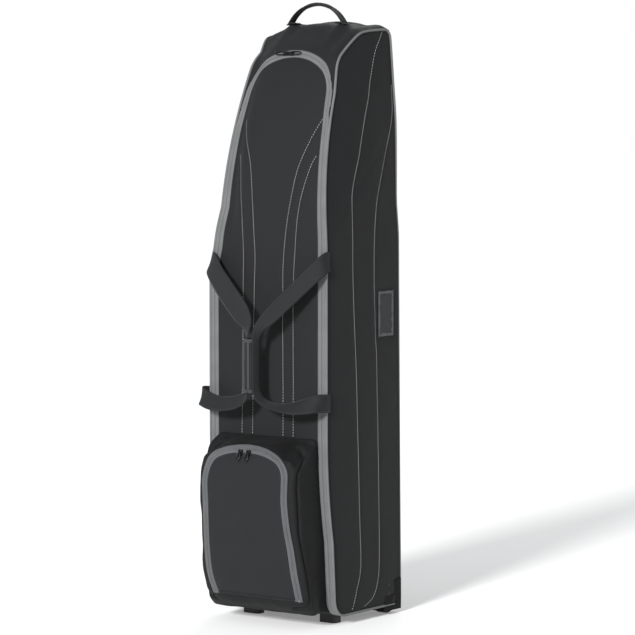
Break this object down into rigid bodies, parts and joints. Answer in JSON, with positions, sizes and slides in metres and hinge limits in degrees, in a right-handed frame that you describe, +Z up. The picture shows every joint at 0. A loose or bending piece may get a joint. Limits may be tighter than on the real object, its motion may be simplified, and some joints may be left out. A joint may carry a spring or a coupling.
{
  "type": "golf travel case",
  "caption": "Tall soft golf travel case: two wheels, zipped front with a folding upper flap, zipped pocket, joined grab handles, top handle and identity window.",
  "frame": {"origin": "centre of the foot print on the ground", "axes": "+Z up, -Y towards the zipped front, +Y towards the wheels and back panel, +X towards the side panel with the identity window"},
  "size_m": [0.3134, 0.3683, 1.3049],
  "materials": {
    "board": "stiff black sheet",
    "buckle": "moulded acetal",
    "card": "dark printed card without text",
    "clear_vinyl": "clear flexible vinyl",
    "foam": "black foam padding",
    "foot": "moulded rubber",
    "grip": "padded black cloth with a bound edge",
    "guard": "textured black plastic",
    "hub": "moulded nylon",
    "piping": "grey corded edge",
    "pocket_fabric": "black woven polyester",
    "shell_fabric": "black woven polyester with a padded lining",
    "steel": "zinc plated",
    "tyre": "solid polyurethane",
    "vinyl_frame": "welded vinyl border",
    "webbing": "black woven polyester webbing",
    "zip_metal": "black lacquer",
    "zip_tape": "grey woven zip tape with a coil"
  },
  "bodies": {
    "case": {"axle_bolts": "steel", "axle_nuts": "steel", "back_board": "board", "back_panel": "shell_fabric", "base_board": "board", "base_tray": "guard", "buckle_sockets": "buckle", "foot_screws": "steel", "front_door_lower": "shell_fabric", "front_feet": "foot", "handle_patches": "webbing", "head_padding": "foam", "housing_screws": "steel", "id_card": "card", "id_frame": "vinyl_frame", "id_window": "clear_vinyl", "inner_straps": "webbing", "left_piping": "piping", "left_side_panel": "shell_fabric", "main_zip_tape_lower": "zip_tape", "main_zip_tape_outer": "zip_tape", "pocket_shell": "pocket_fabric", "pocket_zip_tape_outer": "zip_tape", "right_piping": "piping", "right_side_panel": "shell_fabric", "top_gusset": "shell_fabric", "top_handle_tabs": "webbing", "wheel_housing_left": "guard", "wheel_housing_right": "guard"},
    "wheel_right": {"wheel_tyre_right": "tyre", "wheel_hub_right": "hub", "wheel_bearings_right": "steel"},
    "wheel_left": {"wheel_tyre_left": "tyre", "wheel_hub_left": "hub", "wheel_bearings_left": "steel"},
    "main_flap": {"front_door_upper": "shell_fabric", "main_zip_tape_upper": "zip_tape"},
    "main_slider_left": {"main_slider_left": "zip_metal"},
    "main_slider_right": {"main_slider_right": "zip_metal"},
    "main_pull_left": {"main_pull_left": "zip_metal"},
    "main_pull_right": {"main_pull_right": "zip_metal"},
    "pocket_flap": {"pocket_panel": "pocket_fabric", "pocket_zip_tape_inner": "zip_tape"},
    "pocket_slider_left": {"pocket_slider_left": "zip_metal"},
    "pocket_slider_right": {"pocket_slider_right": "zip_metal"},
    "pocket_pull_left": {"pocket_pull_left": "zip_metal"},
    "pocket_pull_right": {"pocket_pull_right": "zip_metal"},
    "top_handle": {"top_handle_webbing": "webbing", "top_handle_sleeve": "grip"},
    "handle_left": {"handle_webbing_left": "webbing", "grip_pad": "grip"},
    "handle_right": {"handle_webbing_right": "webbing"},
    "grip_flap": {"grip_flap": "grip"},
    "buckle_lower": {"buckle_plug_lower": "buckle", "strap_tail_lower": "webbing"},
    "buckle_upper": {"buckle_plug_upper": "buckle", "strap_tail_upper": "webbing"}
  },
  "joints": [
    {"name": "wheel_right_spin", "type": "hinge", "parent": "case", "child": "wheel_right", "pos_m": [0.126, 0.151, 0.032], "axis": [1, 0, 0], "continuous": true},
    {"name": "wheel_left_spin", "type": "hinge", "parent": "case", "child": "wheel_left", "pos_m": [-0.126, 0.151, 0.032], "axis": [1, 0, 0], "continuous": true},
    {"name": "main_flap_open", "type": "hinge", "parent": "case", "child": "main_flap", "pos_m": [0, -0.095, 0.82], "axis": [1, 0, 0], "range_deg": [0, 100]},
    {"name": "main_slider_left_run", "type": "slide", "parent": "main_flap", "child": "main_slider_left", "axis": [1, 0, 0], "range_m": [-0.015, 0]},
    {"name": "main_slider_right_run", "type": "slide", "parent": "main_flap", "child": "main_slider_right", "axis": [1, 0, 0], "range_m": [0, 0.03]},
    {"name": "main_pull_left_swing", "type": "hinge", "parent": "main_slider_left", "child": "main_pull_left", "pos_m": [-0.022, -0.00441, 1.19684], "axis": [0, 0.4733, 0.8809], "range_deg": [0, 85]},
    {"name": "main_pull_right_swing", "type": "hinge", "parent": "main_slider_right", "child": "main_pull_right", "pos_m": [-0.008, -0.00441, 1.19684], "axis": [0, -0.4733, -0.8809], "range_deg": [0, 85]},
    {"name": "pocket_flap_open", "type": "hinge", "parent": "case", "child": "pocket_flap", "pos_m": [0, -0.1515, 0.066], "axis": [1, 0, 0], "range_deg": [0, 80]},
    {"name": "pocket_slider_left_run", "type": "slide", "parent": "pocket_flap", "child": "pocket_slider_left", "axis": [1, 0, 0], "range_m": [-0.03, 0]},
    {"name": "pocket_slider_right_run", "type": "slide", "parent": "pocket_flap", "child": "pocket_slider_right", "axis": [1, 0, 0], "range_m": [0, 0.035]},
    {"name": "pocket_pull_left_swing", "type": "hinge", "parent": "pocket_slider_left", "child": "pocket_pull_left", "pos_m": [-0.014, -0.17659, 0.36833], "axis": [-1, 0, 0], "range_deg": [0, 150]},
    {"name": "pocket_pull_right_swing", "type": "hinge", "parent": "pocket_slider_right", "child": "pocket_pull_right", "pos_m": [0.007, -0.17659, 0.36833], "axis": [-1, 0, 0], "range_deg": [0, 150]},
    {"name": "top_handle_fold", "type": "hinge", "parent": "case", "child": "top_handle", "pos_m": [0, 0.082, 1.2815], "axis": [1, 0, 0], "range_deg": [-75, 75], "stiffness_Nm_per_rad": 0.05},
    {"name": "handle_left_swing", "type": "hinge", "parent": "case", "child": "handle_left", "pos_m": [-0.152, -0.1005, 0.6], "axis": [0, 0, -1], "range_deg": [0, 105]},
    {"name": "handle_right_swing", "type": "hinge", "parent": "case", "child": "handle_right", "pos_m": [0.152, -0.1005, 0.6], "axis": [0, 0, 1], "range_deg": [0, 105]},
    {"name": "grip_flap_open", "type": "hinge", "parent": "handle_left", "child": "grip_flap", "pos_m": [-0.0196, -0.15715, 0.546], "axis": [0, 0, -1], "range_deg": [0, 170]},
    {"name": "buckle_lower_release", "type": "slide", "parent": "case", "child": "buckle_lower", "axis": [1, 0, 0], "range_m": [0, 0.019]},
    {"name": "buckle_upper_release", "type": "slide", "parent": "case", "child": "buckle_upper", "axis": [1, 0, 0], "range_m": [0, 0.019]}
  ],
  "couplings": [
    {"joint": "handle_right_swing", "follows": "handle_left_swing", "ratio": 1}
  ]
}
